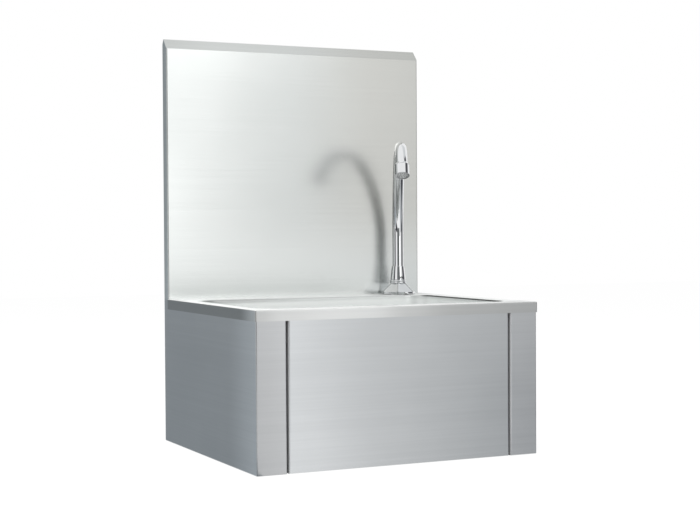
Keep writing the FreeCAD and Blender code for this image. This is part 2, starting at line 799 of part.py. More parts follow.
def hose_fitting(base, direction):
    """A hose's ferrule and the nipple inside its nut, measured from the thread's end."""
    shoulder = hose_nut_length - hose_nut_overlap
    profile = [(hose_bore, washer_gap), (thread_radius - sheet, washer_gap),
               (thread_radius - sheet, 2 * washer_gap + sheet),
               (ferrule_radius - screw_fit, 2 * washer_gap + sheet),
               (ferrule_radius - screw_fit, shoulder), (ferrule_radius, shoulder),
               (ferrule_radius, shoulder + ferrule_length),
               (hose_bore, shoulder + ferrule_length)]
    return turned(profile, base, direction)


def hose_nut(base, direction):
    end = hose_nut_length - hose_nut_overlap
    shape = hex_nut(hose_nut_flats, ferrule_radius, -hose_nut_overlap, end, base, direction)
    socket = rod(thread_radius + screw_fit, -hose_nut_overlap - through,
                 2 * washer_gap + sheet + screw_fit, base, direction)
    return shape.cut(socket)


def make_hose_fittings():
    return group([hose_fitting(Vector(port_reach, port_y, valve_height), x_axis),
                  hose_fitting(Vector(faucet_x, faucet_y, shank_foot), -z_axis)])


def make_base_seal():
    hole = thread_radius + tap_hole_clearance
    return tube(skirt_radius - sheet, hole, rim_height, base_foot, Vector(faucet_x, faucet_y, 0))


def make_faucet_base():
    """Faceted skirt, beaded collar and the spigot on which the spout turns."""
    wires = []
    for radius, height in ((skirt_radius + skirt_trim, base_foot + skirt_edge),
                           (collar_radius, collar_foot)):
        corners = [Vector(radius * math.cos(2 * math.pi * i / skirt_sides),
                          radius * math.sin(2 * math.pi * i / skirt_sides), height)
                   for i in range(skirt_sides)]
        wires.append(Part.makePolygon(corners + corners[:1]))
    middle = (base_foot + skirt_edge + collar_foot) / 2
    pyramid = rounded(Part.makeLoft(wires, True, True), skirt_edge_round,
                      lambda c: near(c.z, middle))
    round_foot = rod(skirt_radius, base_foot, base_foot + skirt_edge, Vector(0, 0, 0))
    round_limit = rod(skirt_radius, base_foot, collar_foot, Vector(0, 0, 0))
    skirt = pyramid.common(round_limit).fuse(round_foot)
    stem_top = cone_foot + spigot_stem_height
    grub_low = cone_foot + grub_height - grub_groove_width / 2
    ring_low = cone_foot + ring_height - ring_groove_width / 2
    collar = turned([(0, collar_foot), (collar_radius - bead_radius, collar_foot),
                     (collar_radius - bead_radius, collar_foot + collar_height),
                     (spigot_stem_radius, collar_foot + collar_height),
                     (spigot_stem_radius, grub_low), (spigot_stem_radius - grub_groove, grub_low),
                     (spigot_stem_radius - grub_groove, grub_low + grub_groove_width),
                     (spigot_stem_radius, grub_low + grub_groove_width),
                     (spigot_stem_radius, ring_low), (spigot_stem_radius - ring_groove, ring_low),
                     (spigot_stem_radius - ring_groove, ring_low + ring_groove_width),
                     (spigot_stem_radius, ring_low + ring_groove_width),
                     (spigot_stem_radius, stem_top), (0, stem_top)], Vector(0, 0, 0))
    beads = [ring(collar_radius - bead_radius, bead_radius, collar_foot + z, Vector(0, 0, 0))
             for z in (bead_radius, collar_height - bead_radius)]
    shape = joined(skirt, collar, *beads)
    socket = rod(thread_radius + screw_fit, base_foot - through,
                 base_foot + shank_entry + screw_fit, Vector(0, 0, 0))
    bore = rod(spigot_stem_bore, base_foot, stem_top + through, Vector(0, 0, 0))
    shape = shape.cut(socket).cut(bore)
    shape.translate(Vector(faucet_x, faucet_y, 0))
    return shape


def make_faucet_shank():
    return tube(thread_radius, shank_bore, shank_foot, base_foot + shank_entry,
                Vector(faucet_x, faucet_y, 0))


def make_fixing_seal():
    return tube(fixing_seal_radius, thread_radius + screw_fit, deck_under - fixing_seal_height,
                deck_under, Vector(faucet_x, faucet_y, 0))


def make_fixing_washer():
    top = deck_under - fixing_seal_height
    return tube(fixing_seal_radius, thread_radius + screw_fit, top - fixing_washer_height, top,
                Vector(faucet_x, faucet_y, 0))


def make_fixing_nut():
    top = deck_under - fixing_seal_height - fixing_washer_height
    return hex_nut(fixing_nut_flats, thread_radius + screw_fit, top - fixing_nut_height, top,
                   Vector(faucet_x, faucet_y, 0))


def make_spigot_ring():
    return ring(spigot_stem_radius - ring_section - running_fit, ring_section,
                cone_foot + ring_height, Vector(faucet_x, faucet_y, 0))


def swung(shape):
    """Turns a spout piece made towards +x to its heading, and sets it over the base."""
    shape.rotate(Vector(0, 0, 0), z_axis, spout_heading)
    shape.translate(Vector(faucet_x, faucet_y, 0))
    return shape


def heading_at(degrees):
    """The way a pipe points in its plane after turning from straight up by so much."""
    angle = math.radians(degrees)
    return Vector(math.sin(angle), 0, math.cos(angle))


def spout_path():
    """The spout's centre line in the x-z plane, and its last point and heading."""
    start = Vector(0, 0, cone_foot + cone_height - pipe_entry)
    point = Vector(0, 0, upright)
    edges = [Part.makeLine(start, point)]
    turned_so_far = 0.0
    for radius, bend in ((first_bend_radius, first_bend), (second_bend_radius, second_bend)):
        to_centre = heading_at(turned_so_far + 90)
        centre = point + to_centre * radius
        middle, end = [centre - heading_at(turned_so_far + 90 + part) * radius
                       for part in (bend / 2, bend)]
        edges.append(Part.Arc(point, middle, end).toShape())
        point = end
        turned_so_far += bend
    return Part.Wire(edges), start, point, heading_at(turned_so_far)


def make_spout_pipe():
    path, start, end, heading = spout_path()
    outer, inner = [path.makePipe(Part.Face(Part.Wire(Part.makeCircle(r, start, z_axis))))
                    for r in (pipe_radius, pipe_radius - pipe_wall)]
    return swung(outer.cut(inner))


def make_spout_cone():
    top = cone_foot + cone_height
    pipe_seat = top - pipe_entry
    bore = spigot_stem_radius + running_fit
    edge = bead_radius / 2
    profile = [(bore, cone_foot), (cone_foot_radius - edge, cone_foot),
               (cone_foot_radius, cone_foot + edge), (cone_top_radius, top - cone_lip),
               (cone_top_radius - cone_lip, top), (pipe_radius, top), (pipe_radius, pipe_seat),
               (bore, pipe_seat)]
    shape = turned(profile, Vector(0, 0, 0))
    hole = rod(grub_radius, 0, cone_foot_radius + through,
               Vector(0, 0, cone_foot + grub_height), grub_way)
    return swung(shape.cut(hole))


def make_grub_screw():
    """Its tip runs in the spigot's groove, and so holds the spout down."""
    floor = spigot_stem_radius - grub_groove + 2 * running_fit
    profile = [(0, floor), (grub_tip_radius, floor), (grub_tip_radius, spigot_stem_radius + 1),
               (grub_radius, spigot_stem_radius + 1), (grub_radius, cone_top_radius),
               (grub_tip_radius / 2, cone_top_radius), (grub_tip_radius / 2, cone_top_radius - 1),
               (0, cone_top_radius - 1)]
    return swung(turned(profile, Vector(0, 0, cone_foot + grub_height), grub_way))


def at_outlet(shape):
    """Sets a piece made upwards from z = 0 on the spout's end, then swings it."""
    end, heading = spout_path()[2:]
    return swung(placed(shape, end, heading))


def make_aerator_housing():
    inner = aerator_radius - aerator_wall
    seam = aerator_shoulder + aerator_seam
    profile = [(pipe_radius - pipe_wall, 0), (pipe_radius + aerator_seam, 0),
               (aerator_radius, aerator_shoulder), (aerator_radius, seam),
               (aerator_radius - aerator_seam, seam),
               (aerator_radius - aerator_seam, seam + aerator_seam),
               (aerator_radius, seam + aerator_seam), (aerator_radius, aerator_length),
               (inner, aerator_length), (inner, aerator_length - aerator_seat),
               (pipe_radius - pipe_wall, aerator_length - aerator_seat)]
    return at_outlet(turned(profile, Vector(0, 0, 0)))


def make_aerator_insert():
    radius = aerator_radius - aerator_wall - screw_fit
    end = aerator_length - insert_recess
    shape = rod(radius, end - insert_thickness, end, Vector(0, 0, 0))
    for count, share in ((6, 0.36), (12, 0.72)):
        for i in range(count):
            angle = 2 * math.pi * i / count
            base = Vector(radius * share * math.cos(angle), radius * share * math.sin(angle), 0)
            shape = shape.cut(rod(insert_hole_radius, 0, aerator_length, base))
    return at_outlet(shape)


def make_aerator_seal():
    radius = aerator_radius - aerator_wall - screw_fit
    top = aerator_length - insert_recess - insert_thickness
    start = aerator_length - aerator_seat
    return at_outlet(tube(radius, pipe_radius - pipe_wall, start, top, Vector(0, 0, 0)))


def drain_centre(z=0):
    return Vector(0, bowl_middle, z)


def make_waste_grid():
    foot = drain_level + seal_thickness
    top = foot + grid_thickness
    dip = grid_thickness
    well = drain_hole_radius - 2 * sheet
    profile = [(0, foot - dip), (well - dip, foot - dip), (well, foot), (grid_radius, foot),
               (grid_radius, foot + sheet), (grid_radius - sheet, top), (well, top),
               (well - dip, top - dip), (0, top - dip)]
    shape = turned(profile, drain_centre())
    for count, radius in ((6, grid_inner_ring), (12, grid_outer_ring - grid_hole_radius)):
        for i in range(count):
            angle = 2 * math.pi * (i + 0.5) / count
            base = drain_centre() + Vector(radius * math.cos(angle), radius * math.sin(angle), 0)
            shape = shape.cut(rod(grid_hole_radius, foot - 2 * dip, top + dip, base))
    hole = rod(waste_screw_radius, foot - 2 * dip, top + dip, drain_centre())
    return shape.cut(hole)


def make_waste_screw():
    seat = drain_level + seal_thickness
    foot = waste_top - cross_bar_height - waste_screw_head
    profile = [(0, foot), (waste_screw_radius, foot), (waste_screw_radius, seat),
               (waste_screw_head_radius, seat), (waste_screw_head_radius, seat + sheet),
               (waste_screw_head_radius - sheet, seat + waste_screw_head), (0, seat + waste_screw_head)]
    return turned(profile, drain_centre())


def make_waste_upper_seal():
    return tube(grid_radius - sheet, drain_hole_radius, drain_level,
                drain_level + seal_thickness, drain_centre())


def make_waste_lower_seal():
    return tube(waste_flange_radius, drain_hole_radius, waste_top,
                waste_top + lower_seal_thickness, drain_centre())


def make_waste_body():
    flange_foot = waste_top - waste_flange_height
    foot = waste_neck_foot - waste_thread_length
    profile = [(waste_bore, foot), (waste_thread_radius, foot),
               (waste_thread_radius, waste_neck_foot), (waste_neck_radius, waste_neck_foot),
               (waste_neck_radius, flange_foot), (waste_flange_radius, flange_foot),
               (waste_flange_radius, waste_top), (waste_bore, waste_top)]
    shape = turned(profile, drain_centre())
    half = cross_bar_width / 2
    bar = block(-waste_bore - 1, waste_bore + 1, bowl_middle - half, bowl_middle + half,
                waste_top - cross_bar_height, waste_top)
    hole = rod(waste_screw_radius + screw_fit, waste_top - 2 * cross_bar_height,
               waste_top + through, drain_centre())
    return joined(shape, bar).cut(hole)


nodes = {
    "deck": make_deck(),
    "bowl": make_bowl(),
    "backsplash": make_backsplash(),
    "side_panel_left": make_side_panel(-1),
    "side_panel_right": make_side_panel(1),
    "wall_rail_upper": make_wall_rail(upper_rail_top - rail_height, True),
    "wall_rail_lower": make_wall_rail(lower_rail_foot, False),
    "hinge_rail": make_hinge_rail(),
    "hinge_rod": make_hinge_rod(),
    "rod_clips": make_rod_clips(),
    "valve_bracket": make_valve_bracket(),
    "valve_body": make_valve_body(),
    "valve_gland": make_valve_gland(),
    "valve_lock_nut": make_valve_nut(),
    "inlet_manifold": make_inlet_manifold(),
    "coupling_nut": make_coupling_nut(),
    "inlet_nipple_hot": make_inlet_nipple(-manifold_far),
    "inlet_nipple_cold": make_inlet_nipple(-manifold_first),
    "faucet_hose": make_faucet_hose(),
    "hose_fittings": make_hose_fittings(),
    "hose_nut_valve": hose_nut(Vector(port_reach, port_y, valve_height), x_axis),
    "hose_nut_faucet": hose_nut(Vector(faucet_x, faucet_y, shank_foot), -z_axis),
    "base_seal": make_base_seal(),
    "faucet_base": make_faucet_base(),
    "faucet_shank": make_faucet_shank(),
    "fixing_seal": make_fixing_seal(),
    "fixing_washer": make_fixing_washer(),
    "fixing_nut": make_fixing_nut(),
    "spigot_ring": make_spigot_ring(),
    "waste_grid": make_waste_grid(),
    "waste_screw": make_waste_screw(),
    "waste_upper_seal": make_waste_upper_seal(),
    "waste_lower_seal": make_waste_lower_seal(),
    "waste_body": make_waste_body(),
    "knee_panel": make_knee_panel(),
    "panel_lugs": make_panel_lugs(),
    "hinge_bushes": make_hinge_bushes(),
    "stop_tabs": make_stop_tabs(),
    "push_stud": make_push_stud(),
    "push_bumper": make_push_bumper(),
    "push_button": make_push_button(),
    "plunger_seal": make_plunger_seal(),
    "plunger_spring": make_plunger_spring(),
    "spout_cone": make_spout_cone(),
    "spout_pipe": make_spout_pipe(),
    "grub_screw": make_grub_screw(),
    "aerator_housing": make_aerator_housing(),
    "aerator_seal": make_aerator_seal(),
    "aerator_insert": make_aerator_insert(),
}

os.makedirs("parts", exist_ok=True)
for name, shape in nodes.items():
    shape.translate(Vector(0, 0, -origin_height))
    if not shape.isValid() or not shape.Solids:
        print("look at", name)
    shape.exportStep("parts/%s.step" % name)
print("%d nodes, origin %.1f mm above the cabinet's lower edge" % (len(nodes), origin_height))
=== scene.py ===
import math

import bmesh
import bpy
from mathutils import Matrix, Vector


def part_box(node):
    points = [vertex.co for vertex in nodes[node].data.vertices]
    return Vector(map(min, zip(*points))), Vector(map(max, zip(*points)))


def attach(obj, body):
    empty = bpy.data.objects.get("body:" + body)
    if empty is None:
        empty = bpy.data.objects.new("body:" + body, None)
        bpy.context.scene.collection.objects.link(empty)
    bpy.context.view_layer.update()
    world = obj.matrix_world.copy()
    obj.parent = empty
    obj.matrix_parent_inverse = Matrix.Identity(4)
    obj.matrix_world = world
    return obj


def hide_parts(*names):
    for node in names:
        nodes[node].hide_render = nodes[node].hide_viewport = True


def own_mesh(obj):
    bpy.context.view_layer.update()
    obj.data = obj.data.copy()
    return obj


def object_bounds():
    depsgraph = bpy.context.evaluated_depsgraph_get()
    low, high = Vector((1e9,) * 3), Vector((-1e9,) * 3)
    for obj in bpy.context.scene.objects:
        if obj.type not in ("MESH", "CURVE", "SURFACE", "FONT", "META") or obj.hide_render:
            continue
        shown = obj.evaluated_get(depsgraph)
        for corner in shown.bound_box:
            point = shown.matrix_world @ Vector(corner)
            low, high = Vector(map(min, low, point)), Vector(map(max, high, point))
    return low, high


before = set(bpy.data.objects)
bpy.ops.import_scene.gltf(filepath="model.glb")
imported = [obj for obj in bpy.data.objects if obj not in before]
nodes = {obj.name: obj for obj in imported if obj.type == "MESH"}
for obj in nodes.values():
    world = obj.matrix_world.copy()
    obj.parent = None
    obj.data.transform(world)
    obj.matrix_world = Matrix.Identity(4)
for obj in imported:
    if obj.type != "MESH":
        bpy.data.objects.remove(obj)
cadBox = [list(corner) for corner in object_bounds()]
scene = bpy.context.scene
print("frame loaded:", len(nodes), "nodes")

# Camera, solved from the straight edges of the sink. Angles in degrees, places in metres
view = {
    "place": (-0.848586, -1.927769, 0.201705),
    "yaw": 24.823,                      # from the wall's normal towards the right
    "pitch": -1.272,
    "roll": -0.352,
    "lens": 73.777,
    "shift": 0.04286,
    "clip": (0.05, 60),
}


def makeCamera(values):
    yaw, pitch, roll = (math.radians(values[name]) for name in ("yaw", "pitch", "roll"))
    level = math.cos(pitch)
    forward = Vector((math.sin(yaw) * level, math.cos(yaw) * level, math.sin(pitch)))
    right = Vector((math.cos(yaw), -math.sin(yaw), 0))
    up = right.cross(forward)
    tiltedRight = right * math.cos(roll) + up * math.sin(roll)
    tiltedUp = up * math.cos(roll) - right * math.sin(roll)
    camera = bpy.data.objects.new("camera", bpy.data.cameras.new("camera"))
    scene.collection.objects.link(camera)
    turned = Matrix((tiltedRight, tiltedUp, -forward)).transposed().to_4x4()
    camera.matrix_world = Matrix.Translation(values["place"]) @ turned
    camera.data.lens = values["lens"]
    camera.data.shift_x = values["shift"]
    camera.data.clip_start, camera.data.clip_end = values["clip"]
    scene.camera = camera


makeCamera(view)
scene.view_settings.view_transform = "Standard"
print("camera made")


# One wrapped socket: expressions on it add Math nodes, and node() adds any other node
class Wire:
    def __init__(self, tree, socket=None):
        self.tree = tree
        self.socket = socket

    def node(self, kind, settings=None, sockets=None, out=0):
        made = self.tree.nodes.new("ShaderNode" + kind)
        for name, value in (settings or {}).items():
            setattr(made, name, value)
        for name, value in (sockets or {}).items():
            plug(self.tree, made.inputs[name], value)
        return Wire(self.tree, made.outputs[out])

    def math(self, operation, *values):
        return self.node("Math", {"operation": operation}, dict(enumerate(values)))

    def __add__(self, other):
        return self.math("ADD", self, other)

    def __sub__(self, other):
        return self.math("SUBTRACT", self, other)

    def __rsub__(self, other):
        return self.math("SUBTRACT", other, self)

    def __mul__(self, other):
        return self.math("MULTIPLY", self, other)

    def __truediv__(self, other):
        return self.math("DIVIDE", self, other)

    def __rtruediv__(self, other):
        return self.math("DIVIDE", other, self)

    __radd__ = __add__
    __rmul__ = __mul__

    def step(self, low, high):          # 0 below low, 1 above high, smooth between
        return self.node("MapRange", {"interpolation_type": "SMOOTHSTEP"},
                         {"Value": self, "From Min": low, "From Max": high})

    def split(self):
        axes = self.node("SeparateXYZ", {}, {"Vector": self}).socket.node.outputs
        return [Wire(self.tree, axes[name]) for name in "XYZ"]

    def noise(self, scale, detail=2.0, roughness=0.5, squash=(1, 1, 1)):
        stretched = self.node("Mapping", {}, {"Vector": self, "Scale": squash})
        return self.node("TexNoise", {}, {"Vector": stretched, "Scale": scale, "Detail": detail,
                                          "Roughness": roughness})

    # Two colours mixed by this value, or the second multiplied into the first
    def mix(self, first, second, blend="MIX"):
        return self.node("Mix", {"data_type": "RGBA", "blend_type": blend},
                         {"Factor": self, 6: first, 7: second}, 2)

    def tint(self, dark, light):
        return self.mix((*dark, 1), (*light, 1))

    def scaled(self, tone):             # a colour made darker or lighter
        return self.node("VectorMath", {"operation": "SCALE"}, {0: self, "Scale": tone})


def plug(tree, socket, value):
    if isinstance(value, Wire):
        tree.links.new(value.socket, socket)
    else:
        socket.default_value = value


# A new material, its first wire, and the place on the piece: Object is the frame's metres
def newMaterial(name, coordinates="Object"):
    material = bpy.data.materials.new(name)
    material.use_nodes = True
    wire = Wire(material.node_tree)
    return material, wire, wire.node("TexCoord", out=coordinates)


# Sets or links the Principled shader's sockets that parts names
def feed(material, **parts):
    shader = material.node_tree.nodes["Principled BSDF"]
    for name, value in parts.items():
        plug(material.node_tree, shader.inputs[name.replace("_", " ")], value)
    return material


def bump(height, strength, distance):
    return height.node("Bump", {}, {"Height": height, "Strength": strength, "Distance": distance})


# Stage material: one shader over another by a share, and no lamp light sampled from it
def stageSurface(material, share, under, over):
    tree = material.node_tree
    mixed = share.node("MixShader", {}, {0: share, 1: under, 2: over})
    tree.links.new(mixed.socket, tree.nodes["Material Output"].inputs["Surface"])
    material.cycles.emission_sampling = "NONE"


# Studio: white room, pale floor, three area lamps, and grey flags that show only in reflections
studio = {
    "floorSize": 9.0,
    "floorDrop": 0.0005,                # below the cabinet's lower edge
    "floorWhite": 0.9,                  # share of the floor that is plain white to the eye
    "floorColour": (0.9, 0.9, 0.9),
    "mottleTone": 0.98,
    "mottleScale": 3.0,
    "roomLevel": 1.0,                   # strength of the white light from all round
}

# Each lamp: centre, aim, size, power in watts, and whether it shows in reflections
lamps = {
    "softBox": {"centre": (0.42, -2.4, 0.75), "aim": (-0.15, 0.0, 0.3), "width": 0.45, "height": 1.4,
                "power": 2.95, "mirrored": True},
    "highBox": {"centre": (0.75, -2.3, 1.15), "aim": (0.0, 0.0, 0.35), "width": 0.6, "height": 0.5,
                "power": 1.4, "mirrored": True},
    "keyBox": {"centre": (-0.6, -1.0, 2.2), "aim": (0.0, -0.2, 0.0), "width": 1.2, "height": 1.2,
               "power": 68.0, "mirrored": False},
}

# Each flag: centre, size, way it faces, turn in its own plane in degrees, its grey,
# and the soft share of its left, right, near and far edges
flags = {
    "flagFloorRight": {"centre": (1.256, -1.252, -0.0925), "size": (1.6, 3.2), "facing": (0, 0, 1),
                       "turn": 28, "grey": (0.44, 0.46, 0.48), "soft": (0.25, 0.1, 0.1, 0.01)},
    "flagFloorLeft": {"centre": (-1.09, 1.4, -0.0925), "size": (1.8, 3.6), "facing": (0, 0, 1),
                      "turn": 0, "grey": (0.34, 0.375, 0.40), "soft": (0.1, 0.001, 0.001, 0.1)},
    "flagFloorNear": {"centre": (1.116, -0.455, -0.0915), "size": (1.5, 0.62), "facing": (0, 0, 1),
                      "turn": -23, "grey": (0.08, 0.08, 0.09), "soft": (0.05, 0.15, 0.15, 0.15)},
    "flagFloorFar": {"centre": (-1.6, -1.2, -0.0925), "size": (1.6, 1.5), "facing": (0, 0, 1),
                     "turn": 0, "grey": (0.06, 0.06, 0.07), "soft": (0.1, 0.15, 0.1, 0.1)},
    "flagBackLeft": {"centre": (-1.5, 2.9, 0.6), "size": (2.6, 1.6), "facing": (0.35, -0.93, 0),
                     "turn": 0, "grey": (0.33, 0.365, 0.39), "soft": (0.1, 0.1, 0.1, 0.1)},
    "flagRightLow": {"centre": (1.45, -2.1, -0.0425), "size": (0.9, 0.1), "facing": (-0.6, 0.8, 0),
                     "turn": 0, "grey": (0.36, 0.38, 0.40), "soft": (0.25, 0.25, 0.01, 0.3)},
    "flagRight": {"centre": (1.735, -0.94, 1.5), "size": (1.65, 4.0), "facing": (-0.87, 0.49, 0),
                  "turn": 0, "grey": (0.10, 0.10, 0.11), "soft": (0.1, 0.25, 0.1, 0.2)},
    "flagFront": {"centre": (-0.45, -1.6, 0.55), "size": (1.62, 1.3), "facing": (0.371, 0.928, 0),
                  "turn": 0, "grey": (0.17, 0.18, 0.18), "soft": (0.15, 0.15, 0.02, 0.2)},
    "flagBackRight": {"centre": (1.55, 2.0, 0.25), "size": (1.3, 0.9), "facing": (-0.42, -0.907, 0),
                      "turn": 0, "grey": (0.50, 0.52, 0.53), "soft": (0.2, 0.2, 0.01, 0.4)},
    "flagTop": {"centre": (1.45, 0.0, 2.0), "size": (1.9, 2.4), "facing": (0, 0, 1),
                "turn": 0, "grey": (0.72, 0.74, 0.75), "soft": (0.45, 0.1, 0.2, 0.2)},
    "flagLeft": {"centre": (-2.2, -0.2, 0.9), "size": (0.9, 2.2), "facing": (1, 0, 0),
                 "turn": 0, "grey": (0.05, 0.05, 0.06), "soft": (0.2, 0.2, 0.1, 0.2)},
}


def makeWorld(values):
    world = bpy.data.worlds.new("room")
    world.use_nodes = True
    scene.world = world
    background = world.node_tree.nodes["Background"]
    background.inputs["Color"].default_value = (1, 1, 1, 1)
    background.inputs["Strength"].default_value = values["roomLevel"]


def flatPiece(name, centre, size, facing, turn=0):
    mesh = bpy.data.meshes.new(name)
    bm = bmesh.new()
    bm.loops.layers.uv.new("UVMap")
    bmesh.ops.create_grid(bm, x_segments=1, y_segments=1, size=0.5, calc_uvs=True)
    bmesh.ops.scale(bm, vec=(*size, 1), verts=bm.verts)
    inPlane = Matrix.Rotation(math.radians(turn), 3, "Z")
    level = facing == (0, 0, 1)
    towards = Matrix.Identity(3) if level else Vector(facing).to_track_quat("Z", "Y").to_matrix()
    bmesh.ops.rotate(bm, cent=(0, 0, 0), matrix=towards @ inPlane, verts=bm.verts)
    bmesh.ops.translate(bm, vec=centre, verts=bm.verts)
    bm.to_mesh(mesh)
    bm.free()
    piece = bpy.data.objects.new(name, mesh)
    scene.collection.objects.link(piece)
    return piece


def makeFloor(values):
    size = values["floorSize"]
    floor = flatPiece("floor", (0, 0, cadBox[0][2] - values["floorDrop"]), (size, size), (0, 0, 1))
    material, wire, place = newMaterial("paleFloor")
    rays = wire.node("LightPath").socket.node.outputs
    camera, glossy, clear = (Wire(wire.tree, rays[name]) for name in (
        "Is Camera Ray", "Is Glossy Ray", "Is Transmission Ray"))
    seen = wire.math("MINIMUM", camera + glossy + clear, 1.0)
    pale = values["floorColour"]
    dull = [part * values["mottleTone"] for part in pale]
    mottle = place.noise(values["mottleScale"], detail=3.0)
    matt = wire.node("BsdfDiffuse", {}, {"Color": mottle.tint(dull, pale)})
    white = wire.node("Emission", {}, {"Color": (1, 1, 1, 1), "Strength": 1.0})
    stageSurface(material, seen * values["floorWhite"], matt, white)
    floor.data.materials.append(material)


def makeFlag(name, values):
    flag = flatPiece(name, values["centre"], values["size"], values["facing"], values["turn"])
    flag.visible_camera = flag.visible_diffuse = flag.visible_shadow = False
    flag.visible_transmission = flag.visible_volume_scatter = False
    material, wire, place = newMaterial(name, "UV")
    across, along = place.split()[:2]
    left, right, near, far = values["soft"]
    mask = across.step(0, left) * across.step(1, 1 - right) * along.step(0, near) * along.step(1, 1 - far)
    grey = wire.node("Emission", {}, {"Color": (*values["grey"], 1), "Strength": 1.0})
    stageSurface(material, mask, wire.node("BsdfTransparent"), grey)
    flag.data.materials.append(material)


def makeLamp(name, values):
    light = bpy.data.lights.new(name, "AREA")
    light.shape = "RECTANGLE"
    light.size, light.size_y = values["width"], values["height"]
    light.energy = values["power"]
    lamp = bpy.data.objects.new(name, light)
    scene.collection.objects.link(lamp)
    lamp.location = values["centre"]
    lamp.rotation_mode = "QUATERNION"
    towards = Vector(values["aim"]) - Vector(values["centre"])
    lamp.rotation_quaternion = towards.to_track_quat("-Z", "Y")
    lamp.visible_glossy = values["mirrored"]


makeWorld(studio)
makeFloor(studio)
for flagName, values in flags.items():
    makeFlag(flagName, values)
for lampName, values in lamps.items():
    makeLamp(lampName, values)
print("studio made:", len(flags), "flags,", len(lamps), "lamps")

# Brushed and satin sheet. along gives how far a scratch runs on each axis: small is long
# Their base colours are painted light and shade on one steel: the deck and bowl are painted lighter, and the
# cabinet and knee panel darker, than the splash
steels = {
    "deck_steel": {"light": (0.84, 0.85, 0.84), "dark": (0.77, 0.78, 0.775), "rough": 0.30,
                   "along": (14, 2600, 2600), "scratch": 0.05, "relief": 0.10, "metal": 1.0},
    "bowl_steel": {"light": (0.88, 0.90, 0.89), "dark": (0.82, 0.84, 0.83), "rough": 0.36,
                   "along": (60, 60, 2200), "scratch": 0.05, "relief": 0.08, "metal": 0.7},
    "splash_steel": {"light": (0.645, 0.665, 0.655), "dark": (0.605, 0.625, 0.615), "rough": 0.24,
                     "along": (14, 14, 2600), "scratch": 0.03, "relief": 0.05, "metal": 1.0},
    "cabinet_steel": {"light": (0.57, 0.58, 0.59), "dark": (0.51, 0.52, 0.53), "rough": 0.30,
                      "along": (14, 14, 2600), "scratch": 0.05, "relief": 0.08, "metal": 1.0},
    "panel_steel": {"light": (0.555, 0.57, 0.58), "dark": (0.50, 0.515, 0.525), "rough": 0.30,
                    "along": (14, 14, 2600), "scratch": 0.05, "relief": 0.08, "metal": 1.0},
    "inner_steel": {"light": (0.48, 0.49, 0.50), "dark": (0.38, 0.39, 0.40), "rough": 0.42,
                    "along": (30, 30, 700), "scratch": 0.08, "relief": 0.10, "metal": 1.0},
}

# What all the sheet shares: fine scratches, broad strokes of the brush, clouds and smears
brushing = {"grain": 0.3, "strokes": 0.3, "cloud": 0.4, "contrast": (0.3, 0.7), "strokeWidth": 9,
            "cloudScale": 7.0, "smearScale": 2.6, "cloudRough": 0.06, "smearRough": 0.05,
            "grainRelief": 0.6, "strokeRelief": 0.4, "depth": 0.00004}

# Painted light and shade on the sheet towards its folds: lighter and darker bands on fronts and sides, a
# painted highlight on the deck's front, and painted shade low at the left and to the right. Each row names
# the node whose front edge is meant, the tone at the fold, and the places in metres between which it fades
paintedFoldLight = {
    "deck_steel": {"node": "deck", "paintedFrontTone": 0.86, "frontFade": (-0.2, -0.165), "paintedSideTone": 2.2,
                   "sideFade": (-0.34, -0.285), "paintedLowTone": 1.0, "paintedRightTone": 0.85, "paintedHighlight": 0.20},
    "cabinet_steel": {"node": "side_panel_right", "paintedFrontTone": 0.88, "frontFade": (-0.2, -0.135),
                      "paintedSideTone": 1.4, "sideFade": (-0.34, -0.24), "paintedLowTone": 0.92, "paintedRightTone": 1.0,
                      "paintedHighlight": 0.0},
    "panel_steel": {"node": "knee_panel", "paintedFrontTone": 1.17, "frontFade": (-0.17, -0.01), "paintedSideTone": 1.0,
                    "sideFade": (-0.34, -0.24), "paintedLowTone": 1.0, "paintedRightTone": 1.0, "paintedHighlight": 0.0},
}

# Where that painted light and shade lie on every front, in metres: behind its edge, and then up or across
paintedFrontPlaces = {"behind": (0.0004, 0.0012), "low": (-0.09, 0.07), "left": (-0.16, 0.0), "right": (0.0, 0.08),
          "highlightRise": (-0.19, -0.08), "highlightFall": (-0.045, 0.01)}


def past(edge, distances):              # places measured from an edge of a piece
    return [edge + distance for distance in distances]


def between(share, tones):              # from the first tone to the second
    return share * (tones[1] - tones[0]) + tones[0]


# Painted light and shade on one sheet's front and side, from a row of that table
def paintedFoldTone(place, fold):
    x, y, z = place.split()
    front = 1 - y.step(*past(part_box(fold["node"])[0].y, paintedFrontPlaces["behind"]))
    onFront = between(x.step(*fold["frontFade"]), (fold["paintedFrontTone"], 1))
    paintedHighlight = x.step(*paintedFrontPlaces["highlightRise"]) * (1 - x.step(*paintedFrontPlaces["highlightFall"])) * fold["paintedHighlight"] + 1
    lower = 1 - (1 - z.step(*paintedFrontPlaces["low"])) * (1 - x.step(*paintedFrontPlaces["left"])) * (1 - fold["paintedLowTone"])
    right = 1 - x.step(*paintedFrontPlaces["right"]) * (1 - fold["paintedRightTone"])
    onSide = fold["paintedSideTone"] - y.step(*fold["sideFade"]) * (fold["paintedSideTone"] - 1)
    return front * (onFront * paintedHighlight) * (lower * right) + (1 - front) * onSide


# The deck's flat top is bead blasted up to its folds and less metal. Its colour carries painted light and
# shade: the top painted lighter, the side aprons painted darkest, painted shade on the top behind the bowl,
# and a front ledge painted darker to the right
deck = {"fold": (-0.0008, -0.0002),     # where the skin changes, measured from the top and the sides
        "metal": 0.5, "paintedFrontTone": 0.73, "paintedSideTone": 0.42, "paintedTopTone": 0.88, "paintedBackShade": 0.67,
        "back": (-0.08, -0.04),
        "paintedLedgeTone": 0.84, "ledge": (-0.315, -0.295), "ledgeRight": (0.0, 0.08), "paintedRightShade": 0.18}


def onDeckTop(place):
    z = place.split()[2]
    return z.step(*past(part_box("deck")[1].z, deck["fold"]))


